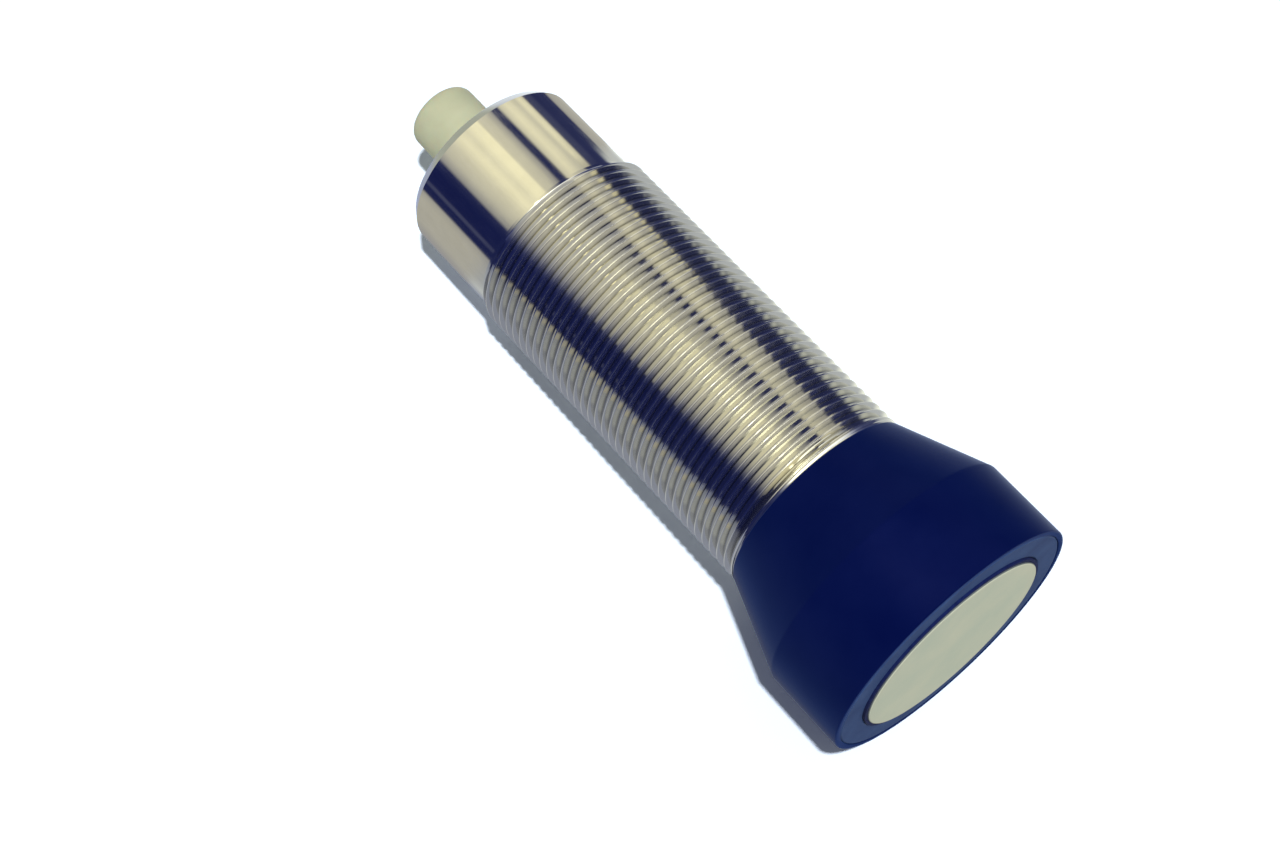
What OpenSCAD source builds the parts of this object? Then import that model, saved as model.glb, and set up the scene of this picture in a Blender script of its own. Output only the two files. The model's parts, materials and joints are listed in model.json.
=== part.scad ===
// Ultrasonic distance sensor: threaded metal barrel, flared plastic head with a round
// transducer face, round plug with a push-on dust cap at the rear.
// Millimetres. The sensor stands on its face: z = 0 is the sensing disc, +Z runs to the plug.

/* [Head housing] */
// Outer diameter of the head
head_d = 40; // [38:0.5:46]
// Length of the straight part of the head
head_straight = 12.4; // [11:0.2:18]
// Length of the cone behind the straight part
head_cone = 13.4; // [11:0.2:18]
// How much wider the small end of the cone is than the thread
head_end_step = 0.2; // [0:0.1:1]
// Width of the rim round the front ring
rim_w = 0.9; // [0.8:0.1:1.4]
// Outer edge radius of the rim
rim_round = 0.2; // [0.1:0.1:0.8]
// Edge radius at the small end of the cone
cone_round = 0.3; // [0.1:0.1:0.4]
// Thickness of the inner web between transducer and barrel
web_t = 1.2; // [0.8:0.1:2]
// Width of the ledge that the web leaves for the barrel end
web_ledge = 2.6; // [1.5:0.1:4]

/* [Transducer] */
// Diameter of the pale sensing disc
disc_d = 29.4; // [24:0.1:30]
// How far the sensing disc stands out of the rim
disc_proud = 0.55; // [0.2:0.05:1]
// Edge chamfer of the sensing disc
disc_edge = 0.15; // [0.1:0.05:0.5]
// Thickness of the sensing disc
disc_t = 5.5; // [3:0.1:7]
// Thickness of the piezo ceramic
piezo_t = 3; // [1:0.1:4]
// How much smaller the ceramic's radius is than the disc's
piezo_inset = 2; // [1:0.1:4]
// Thickness of the damping foam behind the ceramic
backing_t = 1.5; // [1:0.1:4]
// Wall of the soft decoupling sleeve
sleeve_t = 0.45; // [0.4:0.05:1.5]
// How far the front edge of the decoupling sleeve sits behind the disc's face
sleeve_recess = 0.25; // [0.1:0.05:1]
// Wall of the transducer cup beside the sleeve
cup_wall = 1.6; // [1.2:0.1:2]
// Back wall of the transducer cup
cup_back = 1.2; // [0.8:0.1:2]
// Thickness of the front ring, the cup's flange
front_ring_t = 5; // [3:0.1:7]
// Edge chamfer of the front ring
ring_chamfer = 0.2; // [0.1:0.05:0.3]
// Diameter of the lead passage in the cup
passage_d = 12; // [10:0.5:14]
// Distance of each transducer lead from the centre plane
lead_x = 3; // [2:0.1:4]
// Diameter of the temperature probe
probe_d = 2; // [1.2:0.1:2.4]
// Floor under the temperature probe's pocket
probe_floor = 0.3; // [0.2:0.1:0.6]

/* [Barrel] */
// Outer diameter of the threaded part
thread_d = 30; // [29:0.5:32]
// Length of the threaded part
thread_len = 53.2; // [40:0.2:70]
// Length of the thread relief beside the head
relief_len = 1; // [0.9:0.1:3]
// Diameter of the smooth rear part, the relief and the spigot
smooth_d = 28.2; // [27.5:0.1:28.6]
// Length of the smooth rear part
smooth_len = 17.2; // [14:0.1:30]
// Length of the run-out taper between the thread and the smooth part
runout_len = 1.6; // [0.8:0.1:2.5]
// Length of the chamfer on the rear edge
rear_chamfer_len = 1.4; // [0.6:0.1:2]
// Depth of the chamfer on the rear edge
rear_chamfer_depth = 0.9; // [0.4:0.1:1]
// Wall of the smooth part
barrel_wall = 1.8; // [1.6:0.1:2.2]
// Depth of the rear counterbore that takes the closing cap
rear_seat_depth = 6; // [5:0.1:9]
// How much wider the rear counterbore's radius is than the bore's
rear_seat_step = 0.45; // [0.3:0.05:0.6]

/* [Seals] */
// Section diameter of the front sealing ring
front_seal_d = 1.05; // [0.8:0.05:1.1]
// Distance from the barrel's front end to the front sealing ring
front_seal_pos = 4; // [3:0.1:6]
// Section diameter of the rear sealing ring
rear_seal_d = 1.2; // [0.9:0.05:1.4]
// Section diameter of the ring under the plug flange
plug_seal_d = 0.9; // [0.7:0.05:1.1]

/* [Circuit board] */
// Gap between each long edge of the board and the barrel's bore
board_gap = 1.1; // [0.8:0.1:2.5]
// Thickness of the board
board_t = 1.2; // [0.8:0.1:1.6]
// How deep the board sits in the front carrier
board_grip = 2.5; // [1.5:0.1:4]
// Length of the front carrier inside the barrel
carrier_len = 6; // [4:0.1:9]
// Flange of the front carrier, clamped between web and barrel
carrier_flange_t = 1; // [0.8:0.1:2]
// Thickness of the rear carrier
rear_carrier_t = 3; // [2:0.1:5]
// Distance from the board's rear edge to the rear carrier
rear_carrier_pos = 9; // [7:0.1:14]
// Diameter of the round windows in the rear carrier
window_d = 6; // [4:0.1:8]
// Distance from the pin tails to the board's rear edge
tail_gap = 1.8; // [1.6:0.1:3]

/* [Board parts] */
// Gap between neighbouring parts on the board
part_gap = 1.5; // [1:0.1:3]
// Reach of each chip's legs beside its case
leg_len = 0.9; // [0.6:0.1:1.2]
// Thickness of each chip's legs
leg_t = 0.2; // [0.1:0.05:0.3]
// Height of each chip's case above the board
chip_lift = 0.1; // [0.05:0.05:0.3]
// Diameter of the pulse transformer
transformer_d = 10; // [7:0.1:12]
// Height of the pulse transformer
transformer_h = 6.6; // [4:0.1:7.5]
// Thickness of the end plates of the transformer's core
core_plate_t = 1.3; // [0.8:0.1:2]
// Diameter of the hub inside the transformer's coil
core_hub_d = 4; // [2:0.1:5]
// Wall of the transformer's core beside the coil
core_wall = 0.9; // [0.6:0.1:1.5]
// Side of the controller's case
controller_w = 7; // [5:0.1:10]
// Number of legs on each side of the controller
controller_legs = 8; // [4:1:12]
// Thickness of each chip's case
chip_t = 1.2; // [0.8:0.1:1.6]
// Length of the amplifier's case
amplifier_l = 5; // [4:0.1:8]
// Width of the amplifier's case
amplifier_w = 4; // [3:0.1:6]
// Number of legs on each side of the amplifier
amplifier_legs = 4; // [2:1:7]
// Length of the regulator's case
regulator_l = 6.5; // [4:0.1:8]
// Width of the regulator's case
regulator_w = 3.5; // [3:0.1:5]
// Number of legs on each side of the regulator
regulator_legs = 3; // [1:1:5]
// Diameter of the storage capacitor
capacitor_d = 6.3; // [4:0.1:8]
// Height of the storage capacitor
capacitor_h = 7.2; // [4:0.1:7.7]
// Thickness of the storage capacitor's square base
capacitor_base_t = 0.8; // [0.5:0.1:1.5]
// Height of the bead rolled into the capacitor's can
capacitor_bead_z = 2.2; // [1.5:0.1:3]
// Depth of that bead and of the can's edge chamfer
capacitor_bead = 0.3; // [0.1:0.05:0.5]
// Number of small ceramic capacitors
ceramic_count = 4; // [2:1:5]
// Spacing of the small ceramic capacitors
ceramic_pitch = 4; // [3.5:0.1:5]
// Length of each ceramic capacitor, across the board
ceramic_l = 3.2; // [1.6:0.1:4]
// Width of each ceramic capacitor
ceramic_w = 1.6; // [0.8:0.1:3]
// Height of each ceramic capacitor
ceramic_h = 1.2; // [0.6:0.1:2]
// Width of each status lamp
lamp_w = 1.6; // [1:0.1:2]
// Length of each status lamp
lamp_l = 3; // [2:0.1:4]
// Height of each status lamp
lamp_h = 1.1; // [0.6:0.1:1.4]

/* [Rear cap and plug] */
// How far the closing cap sits behind the barrel's rear edge
rear_recess = 0.4; // [0:0.1:1]
// Edge chamfer of the closing cap
closing_edge = 0.3; // [0.1:0.05:0.6]
// Inner diameter of the light ring round the plug
light_ring_d = 17.2; // [16.6:0.1:18]
// Width of the light ring
light_ring_w = 1.8; // [1.2:0.1:2.2]
// Depth of the light ring
light_ring_t = 1.6; // [1:0.1:2]
// Diameter of the light ring's legs
light_leg_d = 1.5; // [1:0.1:1.6]
// Outer diameter of the plug thread
plug_d = 7.95; // [7.5:0.05:8.2]
// Length of the plug beyond its flange
plug_len = 7.8; // [7:0.1:8.4]
// Bore of the plug
plug_bore_d = 5.8; // [5.4:0.1:6.2]
// Chamfers at the plug's mouth
mouth_edge = 0.3; // [0.2:0.05:0.4]
// Diameter of the plug flange
flange_d = 12; // [11.2:0.1:14]
// Thickness of the plug flange
flange_t = 1.2; // [0.8:0.1:2]
// Diameter of the plug's neck in the closing cap
neck_d = 8.6; // [8.2:0.1:9]
// Free depth of the plug in front of its contact carrier
plug_depth = 7; // [6:0.1:7.6]
// Width of the coding key in the plug bore
key_w = 0.8; // [0.6:0.1:1.2]
// Height of the coding key above the plug bore's wall
key_h = 0.5; // [0.3:0.1:0.6]
// Diameter of each contact pin
pin_d = 0.9; // [0.8:0.05:1]
// Diameter of the circle that the outer pins stand on
pin_circle_d = 3.4; // [3:0.1:3.8]
// How far the pin tips sit below the plug's mouth
pin_recess = 1.2; // [0.8:0.1:2]
// Length of the pin tails behind the contact carrier
pin_tail = 5.8; // [4.4:0.1:8]
// Thickness of the potting under the closing cap
potting_t = 3.4; // [2:0.1:4]
// Diameter of the lead wires
lead_d = 0.8; // [0.5:0.1:1]
// Length of each lead along the board
lead_seat = 4; // [2:0.1:6]

/* [Dust cap] */
// Wall of the dust cap
cap_wall = 1.3; // [0.8:0.05:1.6]
// Running clearance between the dust cap and the plug
cap_clearance = 0.05; // [0.02:0.01:0.1]
// Room between the plug's mouth and the dust cap's end
cap_room = 2.1; // [1.8:0.1:4]
// Outer edge radius of the dust cap's end
cap_round = 1.5; // [1:0.1:2.8]

/* [Fits] */
// Clearance between parts that are glued or pressed together
fit = 0.04; // [0.02:0.01:0.08]
// Gap between a soft or clipped part and what it rests on
seat_gap = 0.1; // [0.05:0.01:0.3]

/* [Hidden] */

$fn = 96;
// Length added to a cut so that it leaves no skin
cut = 0.5;
// Diameter of a wire's bend as a multiple of the wire's
bend_swell = 1.06;
// Steps in each rounded edge of a profile
round_steps = 6;
// Facets round a thin wire or sealing ring
thin_fn = 24;

// Radii of the head and its contents
head_r = head_d / 2;
head_end_r = thread_d / 2 + head_end_step / 2;
rim_in_r = head_r - rim_w;
disc_r = disc_d / 2;
sleeve_in_r = disc_r + fit;
sleeve_out_r = sleeve_in_r + sleeve_t;
cup_in_r = sleeve_out_r + fit;
cup_out_r = cup_in_r + cup_wall;
piezo_r = disc_r - piezo_inset;
passage_r = passage_d / 2;

// Levels in the head, counted from the disc's face
rim_front = disc_proud;
ring_back = rim_front + front_ring_t;
piezo_back = disc_t + piezo_t;
backing_back = piezo_back + backing_t;
sleeve_back = backing_back + sleeve_t;
cup_back_z = sleeve_back + cup_back;
web_back = cup_back_z + fit + web_t;
probe_y = passage_r + probe_d;
probe_back = web_back - 2 * seat_gap;
cone_front = rim_front + head_straight;
head_back = cone_front + head_cone;

// Radii of the barrel
smooth_r = smooth_d / 2;
thread_r = thread_d / 2;
bore_r = smooth_r - barrel_wall;
rear_seat_r = bore_r + rear_seat_step;
spigot_bore_r = smooth_r + fit;
web_hole_r = smooth_r - web_ledge;
front_groove_r = spigot_bore_r - front_seal_d - fit;
front_groove_w = front_seal_d + 2 * seat_gap;

// Levels of the barrel
barrel_front = web_back + carrier_flange_t;
front_seal_z = barrel_front + front_seal_pos;
thread_front = head_back + relief_len;
thread_back = thread_front + thread_len;
barrel_back = thread_back + smooth_len;
rear_seat_z = barrel_back - rear_seat_depth;

// Levels of the closing cap and the plug
closing_back = barrel_back - rear_recess;
flange_back = closing_back + flange_t;
plug_mouth = flange_back + plug_len;
carrier_face = plug_mouth - plug_depth;
carrier_front = rear_seat_z + seat_gap;
tail_front = carrier_front - pin_tail;
pin_tip = plug_mouth - pin_recess;
plug_r = plug_d / 2;
plug_bore_r = plug_bore_d / 2;
neck_r = neck_d / 2;
flange_r = flange_d / 2;
closing_r = rear_seat_r - fit;
rear_seal_z = rear_seat_z + rear_seat_depth / 2 - rear_recess / 2;
rear_groove_r = rear_seat_r - rear_seal_d - fit;
rear_groove_w = rear_seal_d + 2 * seat_gap;
plug_groove_out = neck_r + fit + plug_seal_d + fit;

// Levels and sizes of the circuit board
board_w = 2 * (bore_r - board_gap);
board_front = barrel_front + carrier_len - board_grip;
board_back = tail_front - tail_gap;
board_top = board_t / 2;
rear_carrier_back = board_back - rear_carrier_pos;
lead_y = board_top + lead_d / 2 + fit;
lead_end_z = board_front + board_grip + lead_seat;
carrier_r = bore_r - fit;

// Places along the board, front face then back face
lead_end = board_grip + lead_seat;
transformer_pos = lead_end + part_gap + transformer_d / 2;
controller_pos = transformer_pos + transformer_d / 2 + part_gap + controller_w / 2 + leg_len;
capacitor_pos = controller_pos + controller_w / 2 + leg_len + part_gap + capacitor_d / 2;
amplifier_pos = lead_end + part_gap + amplifier_l / 2;
regulator_pos = amplifier_pos + amplifier_l / 2 + part_gap + regulator_l / 2;
ceramics_pos = regulator_pos + regulator_l / 2 + part_gap + ceramic_pitch / 2;

// Light ring
light_in_r = light_ring_d / 2;
light_out_r = light_in_r + light_ring_w;
light_mid_r = light_in_r + light_ring_w / 2;
light_front = closing_back - light_ring_t;
leg_y = board_top + lamp_h / 2;
leg_x = sqrt(light_mid_r * light_mid_r - leg_y * leg_y);
leg_front = board_back + seat_gap;

// Dust cap
cap_in_r = plug_r + cap_clearance;
cap_out_r = cap_in_r + cap_wall;
cap_front = flange_back + fit;
cap_in_end = plug_mouth + cap_room;
cap_back = cap_in_end + cap_wall;
cap_in_round = max(cap_round - cap_wall, seat_gap);
cap_round_c = [cap_out_r - cap_round, cap_back - cap_round];
cap_in_round_c = [cap_in_r - cap_in_round, cap_in_end - cap_in_round];

// Places of the outer contact pins, and the centre pin last
pin_places = [for (i = [0:3]) pin_circle_d / 2 * [cos(45 + 90 * i), sin(45 + 90 * i)]];

// Points along an arc with centre c and radius r
function arc(c, r, a0, a1) = [for (i = [0:round_steps])
    let (a = a0 + (a1 - a0) * i / round_steps) [c[0] + r * cos(a), c[1] + r * sin(a)]];

// Solid of revolution from a profile of [radius, height] points
module turned(points) {
    rotate_extrude() polygon(points);
}

// Round bar along Z from one height to another
module bar(r, z0, z1) {
    translate([0, 0, z0]) cylinder(r = r, h = z1 - z0);
}

// Ring of round section
module seal_ring(inner_r, d, z) {
    rotate_extrude() translate([inner_r + d / 2, z]) circle(d = d, $fn = thin_fn);
}

// Round bar from point a to point b
module strut(a, b, d) {
    v = b - a;
    l = norm(v);
    translate(a) rotate([0, acos(v[2] / l), atan2(v[1], v[0])]) cylinder(d = d, h = l, $fn = thin_fn);
}

// Wire through a list of points, with slightly swollen round bends
module wire(path, d) {
    last = len(path) - 1;
    for (i = [1:last]) strut(path[i - 1], path[i], d);
    for (i = [1:last - 1]) translate(path[i]) sphere(d = d * bend_swell, $fn = thin_fn);
}

// Box on the board's face: side is 1 for the front face and -1 for the back face
module board_box(size_x, size_z, height, x, z, side, lift = 0) {
    y0 = board_top + lift;
    translate([x, side * (y0 + height / 2), board_front + z])
        cube([size_x, height, size_z], center = true);
}

module head_housing() {
    color([0.06, 0.09, 0.30])
    difference() {
        turned(concat(
            [[0, rim_front]],
            arc([head_r - rim_round, rim_front + rim_round], rim_round, -90, 0),
            [[head_r, cone_front]],
            [[head_end_r, head_back - cone_round], [head_end_r - cone_round, head_back]],
            [[0, head_back]]));
        // Seat of the front ring
        bar(rim_in_r, rim_front - cut, ring_back + fit);
        // Room for the body of the transducer cup
        bar(cup_out_r + fit, rim_front - cut, cup_back_z + fit);
        // Passage for the leads
        bar(web_hole_r, rim_front - cut, head_back + cut);
        // Seat of the barrel
        bar(spigot_bore_r, web_back, head_back + cut);
    }
}

module transducer_cup() {
    ring_r = rim_in_r - fit;
    color([0.20, 0.26, 0.42])
    difference() {
        turned([
            [passage_r, cup_back_z],
            [cup_out_r, cup_back_z],
            [cup_out_r, ring_back],
            [ring_r, ring_back],
            [ring_r, rim_front + ring_chamfer],
            [ring_r - ring_chamfer, rim_front],
            [cup_in_r + ring_chamfer, rim_front],
            [cup_in_r, rim_front + ring_chamfer],
            [cup_in_r, sleeve_back],
            [passage_r, sleeve_back]]);
        // Pocket of the temperature probe
        translate([0, probe_y, 0]) bar(probe_d / 2 + fit, sleeve_back + probe_floor, cup_back_z + cut);
    }
}

module decoupling_sleeve() {
    color([0.03, 0.04, 0.07])
    turned([
        [passage_r, sleeve_back],
        [sleeve_out_r, sleeve_back],
        [sleeve_out_r, sleeve_recess],
        [sleeve_in_r, sleeve_recess],
        [sleeve_in_r, backing_back],
        [passage_r, backing_back]]);
}

module sensing_disc() {
    color([0.68, 0.72, 0.63])
    turned([
        [0, disc_t],
        [disc_r, disc_t],
        [disc_r, disc_edge],
        [disc_r - disc_edge, 0],
        [0, 0]]);
}

module piezo_disc() {
    color([0.62, 0.60, 0.50])
    bar(piezo_r, disc_t, piezo_back);
}

module backing_foam() {
    color([0.25, 0.25, 0.27])
    difference() {
        bar(disc_r - fit, disc_t, backing_back);
        bar(piezo_r + fit, disc_t - cut, piezo_back);
        for (s = [-1, 1])
            translate([s * lead_x, s * lead_y, 0])
                bar(lead_d / 2 + fit, piezo_back - cut, backing_back + cut);
    }
}

module transducer_leads() {
    color([0.75, 0.15, 0.12])
    for (s = [-1, 1])
        translate([s * lead_x, s * lead_y, 0])
            bar(lead_d / 2, piezo_back, lead_end_z);
}

module temperature_probe() {
    wire_z = probe_back - lead_d / 2 - seat_gap;
    color([0.15, 0.15, 0.15]) {
        translate([0, probe_y, 0]) bar(probe_d / 2, sleeve_back + probe_floor, probe_back);
        wire([[0, probe_y, wire_z], [0, lead_y, wire_z], [0, lead_y, lead_end_z]], lead_d);
    }
}

module front_seal() {
    color([0.05, 0.05, 0.05])
    seal_ring(front_groove_r + fit / 2, front_seal_d, front_seal_z);
}

module barrel() {
    color([0.80, 0.79, 0.72])
    difference() {
        turned([
            [bore_r, barrel_front],
            [smooth_r - ring_chamfer, barrel_front],
            [smooth_r, barrel_front + ring_chamfer],
            [smooth_r, thread_front - (thread_r - smooth_r)],
            [thread_r, thread_front],
            [thread_r, thread_back - runout_len],
            [smooth_r, thread_back],
            [smooth_r, barrel_back - rear_chamfer_len],
            [smooth_r - rear_chamfer_depth, barrel_back],
            [rear_seat_r, barrel_back],
            [rear_seat_r, rear_seat_z],
            [bore_r, rear_seat_z]]);
        // Groove of the front sealing ring
        difference() {
            bar(smooth_r + cut, front_seal_z - front_groove_w / 2, front_seal_z + front_groove_w / 2);
            bar(front_groove_r, front_seal_z - front_groove_w, front_seal_z + front_groove_w);
        }
    }
}

// Slot that holds the board in a carrier
module board_slot(z0, z1) {
    slot_t = board_t + 2 * fit;
    translate([-board_w / 2 - fit, -slot_t / 2, z0]) cube([board_w + 2 * fit, slot_t, z1 - z0]);
}

module front_carrier() {
    window_x = lead_x + lead_d;
    window_y = lead_y + lead_d / 2 + fit;
    color([0.16, 0.17, 0.18])
    difference() {
        union() {
            bar(smooth_r - fit, web_back, barrel_front);
            bar(carrier_r, web_back, barrel_front + carrier_len);
        }
        // Seat of the board, open towards the rear
        board_slot(board_front, barrel_front + carrier_len + cut);
        // Window for the leads on both faces of the board
        translate([-window_x, -window_y, web_back - cut])
            cube([2 * window_x, 2 * window_y, carrier_len + carrier_flange_t + 2 * cut]);
    }
}

module rear_carrier() {
    color([0.16, 0.17, 0.18])
    difference() {
        bar(carrier_r, rear_carrier_back - rear_carrier_t, rear_carrier_back);
        board_slot(rear_carrier_back - rear_carrier_t - cut, rear_carrier_back + cut);
        // Round windows for potting to flow through
        for (s = [-1, 1])
            translate([0, s * carrier_r / 2, 0])
                bar(window_d / 2, rear_carrier_back - rear_carrier_t - cut, rear_carrier_back + cut);
    }
}

module circuit_board() {
    color([0.05, 0.35, 0.18])
    translate([-board_w / 2, -board_top, board_front])
        cube([board_w, board_t, board_back - board_front]);
}

// Turns its children so that they stand on the board's front face
module on_board(z) {
    translate([0, board_top, board_front + z]) rotate([-90, 0, 0]) children();
}

module transformer_core() {
    color([0.12, 0.12, 0.13])
    on_board(transformer_pos)
    difference() {
        cylinder(d = transformer_d, h = transformer_h);
        translate([0, 0, core_plate_t]) difference() {
            cylinder(r = transformer_d / 2 - core_wall, h = transformer_h - 2 * core_plate_t);
            translate([0, 0, -cut]) cylinder(d = core_hub_d, h = transformer_h);
        }
        // Side gaps where the coil's ends come out
        for (s = [-1, 1])
            translate([s * transformer_d / 2, 0, transformer_h / 2])
                cube([2 * core_wall + cut, core_hub_d, transformer_h - 2 * core_plate_t], center = true);
    }
}

module transformer_coil() {
    color([0.70, 0.36, 0.16])
    on_board(transformer_pos)
    translate([0, 0, core_plate_t + fit]) difference() {
        cylinder(r = transformer_d / 2 - core_wall - fit, h = transformer_h - 2 * core_plate_t - 2 * fit);
        translate([0, 0, -cut]) cylinder(d = core_hub_d + 2 * fit, h = transformer_h);
    }
}

// Chip with a row of legs along its two long sides
module chip(w, l, x, z, side, legs) {
    leg_pitch = l / legs;
    leg_w = leg_pitch / 2;
    board_box(w, l, chip_t, x, z, side, chip_lift);
    for (i = [0:legs - 1], s = [-1, 1])
        board_box(leg_len, leg_w, leg_t + chip_lift, x + s * (w + leg_len) / 2,
            z + (i - (legs - 1) / 2) * leg_pitch, side);
}

module controller_chip() {
    leg_pitch = controller_w / controller_legs;
    color([0.10, 0.10, 0.11]) {
        chip(controller_w, controller_w, 0, controller_pos, 1, controller_legs);
        // Legs along the other two sides
        for (i = [0:controller_legs - 1], s = [-1, 1])
            board_box(leg_pitch / 2, leg_len, leg_t + chip_lift,
                (i - (controller_legs - 1) / 2) * leg_pitch,
                controller_pos + s * (controller_w + leg_len) / 2, 1);
    }
}

module amplifier_chip() {
    color([0.10, 0.10, 0.11])
    chip(amplifier_w, amplifier_l, 0, amplifier_pos, -1, amplifier_legs);
}

module voltage_regulator() {
    color([0.10, 0.10, 0.11])
    chip(regulator_w, regulator_l, 0, regulator_pos, -1, regulator_legs);
}

module storage_capacitor() {
    can_r = capacitor_d / 2;
    bead_r = can_r - capacitor_bead;
    color([0.72, 0.72, 0.74])
    on_board(capacitor_pos)
    union() {
        translate([-can_r, -can_r, 0]) cube([capacitor_d, capacitor_d, capacitor_base_t]);
        turned([
            [0, 0],
            [can_r, 0],
            [can_r, capacitor_bead_z - capacitor_bead],
            [bead_r, capacitor_bead_z],
            [can_r, capacitor_bead_z + capacitor_bead],
            [can_r, capacitor_h - capacitor_bead],
            [bead_r, capacitor_h],
            [0, capacitor_h]]);
    }
}

module ceramic_capacitors() {
    color([0.62, 0.50, 0.34])
    for (i = [0:ceramic_count - 1])
        board_box(ceramic_l, ceramic_w, ceramic_h, 0, ceramics_pos + i * ceramic_pitch, -1);
}

module status_lamp(x) {
    z = board_back - board_front - lamp_l / 2;
    board_box(lamp_w, lamp_l, lamp_h, x, z, 1);
}

module status_lamp_a() {
    color([0.20, 0.75, 0.25])
    status_lamp(leg_x);
}

module status_lamp_b() {
    color([0.90, 0.75, 0.15])
    status_lamp(-leg_x);
}

// Holes that the pins and the light ring's legs pass through
module leg_holes(z0, z1) {
    for (s = [-1, 1]) translate([s * leg_x, leg_y, 0]) bar(light_leg_d / 2 + fit, z0, z1);
}

module pin_holes(z0, z1) {
    for (p = pin_places) translate([p[0], p[1], 0]) bar(pin_d / 2 + fit / 2, z0, z1);
    bar(pin_d / 2 + fit / 2, z0, z1);
}

module potting_disc() {
    potting_back = rear_seat_z;
    color([0.12, 0.12, 0.12])
    difference() {
        bar(carrier_r, potting_back - potting_t, potting_back);
        pin_holes(potting_back - potting_t - cut, potting_back + cut);
        leg_holes(potting_back - potting_t - cut, potting_back + cut);
    }
}

module closing_cap() {
    color([0.13, 0.14, 0.15])
    difference() {
        turned([
            [0, rear_seat_z],
            [closing_r, rear_seat_z],
            [closing_r, closing_back - closing_edge],
            [closing_r - closing_edge, closing_back],
            [0, closing_back]]);
        // Hole for the plug's neck, with a groove for its sealing ring
        bar(neck_r + fit, rear_seat_z - cut, closing_back + cut);
        bar(plug_groove_out, closing_back - plug_seal_d - fit, closing_back + cut);
        // Groove of the light ring, and holes for its legs
        difference() {
            bar(light_out_r + fit, light_front - fit, closing_back + cut);
            bar(light_in_r - fit, light_front - 2 * fit, closing_back + 2 * cut);
        }
        leg_holes(rear_seat_z - cut, closing_back);
        // Groove of the rear sealing ring
        difference() {
            bar(closing_r + cut, rear_seal_z - rear_groove_w / 2, rear_seal_z + rear_groove_w / 2);
            bar(rear_groove_r, rear_seal_z - rear_groove_w, rear_seal_z + rear_groove_w);
        }
    }
}

module rear_seal() {
    color([0.05, 0.05, 0.05])
    seal_ring(rear_groove_r + fit / 2, rear_seal_d, rear_seal_z);
}

module light_ring() {
    color([0.86, 0.88, 0.84, 0.8]) {
        difference() {
            bar(light_out_r, light_front, closing_back);
            bar(light_in_r, light_front - cut, closing_back + cut);
        }
        for (s = [-1, 1]) translate([s * leg_x, leg_y, 0]) bar(light_leg_d / 2, leg_front, light_front + fit);
    }
}

module plug_shell() {
    color([0.76, 0.74, 0.66])
    difference() {
        union() {
            difference() {
                turned([
                    [0, rear_seat_z],
                    [neck_r, rear_seat_z],
                    [neck_r, closing_back],
                    [flange_r, closing_back],
                    [flange_r, flange_back - mouth_edge / 2],
                    [flange_r - mouth_edge / 2, flange_back],
                    [plug_r, flange_back],
                    [plug_r, plug_mouth - mouth_edge],
                    [plug_r - mouth_edge, plug_mouth],
                    [0, plug_mouth]]);
                bar(plug_bore_r, rear_seat_z - cut, plug_mouth + cut);
            }
            // Coding key along one side of the bore
            translate([plug_bore_r - key_h, -key_w / 2, carrier_face])
                cube([key_h + mouth_edge, key_w, plug_depth - mouth_edge]);
        }
        // Lead-in at the mouth, at 45 degrees
        translate([0, 0, plug_mouth - mouth_edge])
            cylinder(r1 = plug_bore_r, r2 = plug_bore_r + mouth_edge + cut, h = mouth_edge + cut);
    }
}

module plug_seal() {
    color([0.05, 0.05, 0.05])
    seal_ring(neck_r + fit + fit / 2, plug_seal_d, closing_back - plug_seal_d / 2 - fit / 2);
}

module contact_carrier() {
    color([0.08, 0.08, 0.09])
    difference() {
        bar(plug_bore_r - fit, carrier_front, carrier_face);
        pin_holes(carrier_front - cut, carrier_face + cut);
    }
}

// Contact pin with a rounded tip
module contact_pin(place) {
    tip = pin_d / 4;
    color([0.85, 0.70, 0.32])
    translate([place[0], place[1], 0])
        turned([
            [0, tail_front],
            [pin_d / 2, tail_front],
            [pin_d / 2, pin_tip - tip],
            [pin_d / 2 - tip, pin_tip],
            [0, pin_tip]]);
}

module contact_pin_1() { contact_pin(pin_places[0]); }
module contact_pin_2() { contact_pin(pin_places[1]); }
module contact_pin_3() { contact_pin(pin_places[2]); }
module contact_pin_4() { contact_pin(pin_places[3]); }
module contact_pin_5() { contact_pin([0, 0]); }

module plug_leads() {
    bend_in = tail_front - lead_d / 2 - seat_gap;
    bend_out = board_back + lead_d / 2 + 2 * seat_gap;
    color([0.30, 0.22, 0.16])
    for (p = concat(pin_places, [[0, 0]])) {
        y = (p[1] < 0 ? -1 : 1) * lead_y;
        wire([[p[0], p[1], tail_front],
            [p[0], p[1], bend_in],
            [p[0], y, bend_out],
            [p[0], y, board_back - lead_seat]], lead_d);
    }
}

module dust_cap() {
    color([0.78, 0.78, 0.68])
    turned(concat(
        [[cap_in_r, cap_front], [cap_out_r, cap_front]],
        arc(cap_round_c, cap_round, 0, 90),
        [[0, cap_back], [0, cap_in_end]],
        arc(cap_in_round_c, cap_in_round, 90, 0)));
}

head_housing();
transducer_cup();
decoupling_sleeve();
sensing_disc();
piezo_disc();
backing_foam();
transducer_leads();
temperature_probe();
front_seal();
barrel();
front_carrier();
rear_carrier();
circuit_board();
transformer_core();
transformer_coil();
controller_chip();
amplifier_chip();
voltage_regulator();
storage_capacitor();
ceramic_capacitors();
status_lamp_a();
status_lamp_b();
potting_disc();
closing_cap();
rear_seal();
light_ring();
plug_shell();
plug_seal();
contact_carrier();
contact_pin_1();
contact_pin_2();
contact_pin_3();
contact_pin_4();
contact_pin_5();
plug_leads();
dust_cap();
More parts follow.
